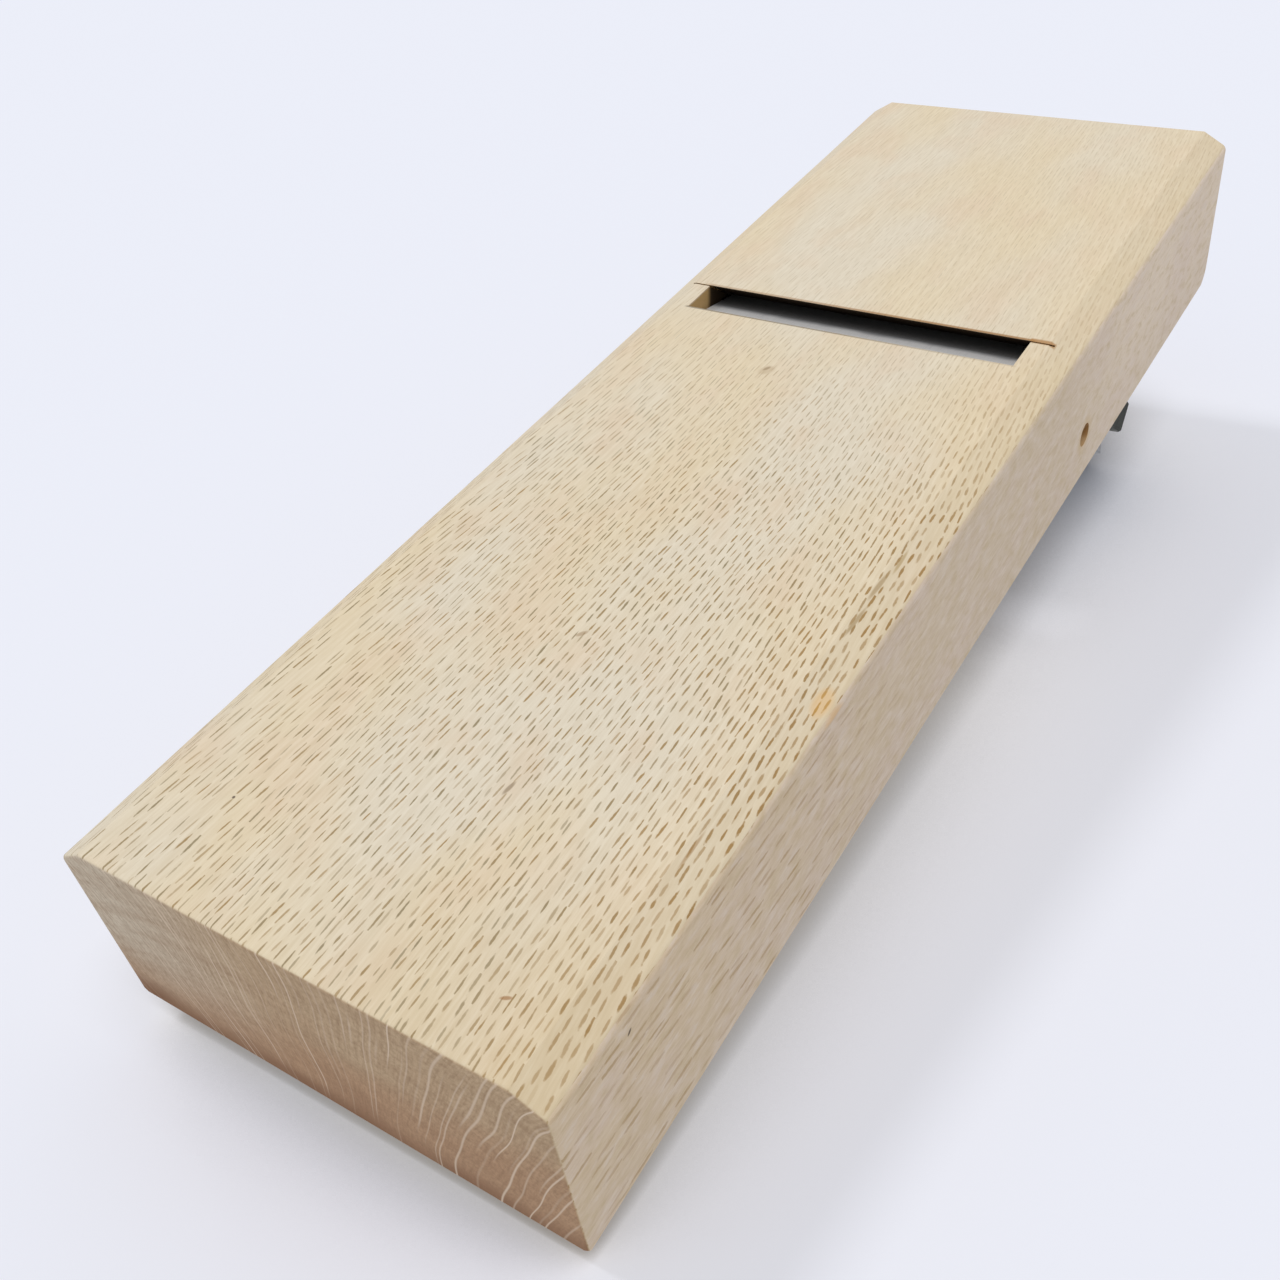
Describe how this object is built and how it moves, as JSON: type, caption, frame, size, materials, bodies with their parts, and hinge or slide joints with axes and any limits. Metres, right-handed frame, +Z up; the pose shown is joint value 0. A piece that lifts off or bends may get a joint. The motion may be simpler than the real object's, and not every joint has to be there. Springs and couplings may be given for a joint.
{
  "type": "hand plane",
  "caption": "Wooden pull plane with a wedge-shaped laminated blade, a chip breaker and a retaining pin across the throat.",
  "frame": {"origin": "middle of the sole, which is the middle of the bottom of the whole plane", "axes": "+X along the body towards the toe, +Y across the body, +Z up from the sole"},
  "size_m": [0.252, 0.08, 0.0643],
  "materials": {
    "oak": "planed, unfinished",
    "soft_iron": "forged, lightly brushed",
    "hard_steel": "ground",
    "chip_iron": "brushed",
    "pin_steel": "drawn rod"
  },
  "bodies": {
    "body": {"body": "oak", "pin": "pin_steel"},
    "blade": {"blade_iron": "soft_iron", "blade_steel": "hard_steel"},
    "chip_breaker": {"chip_breaker_iron": "chip_iron", "chip_breaker_steel": "hard_steel"}
  },
  "joints": [
    {"name": "blade_slide", "type": "slide", "parent": "body", "child": "blade", "axis": [-0.788, 0, 0.6157], "range_m": [-0.0052, 0.052]},
    {"name": "chip_breaker_slide", "type": "slide", "parent": "blade", "child": "chip_breaker", "axis": [-0.7711, 0, 0.6368], "range_m": [-0.0042, 0.052]}
  ]
}
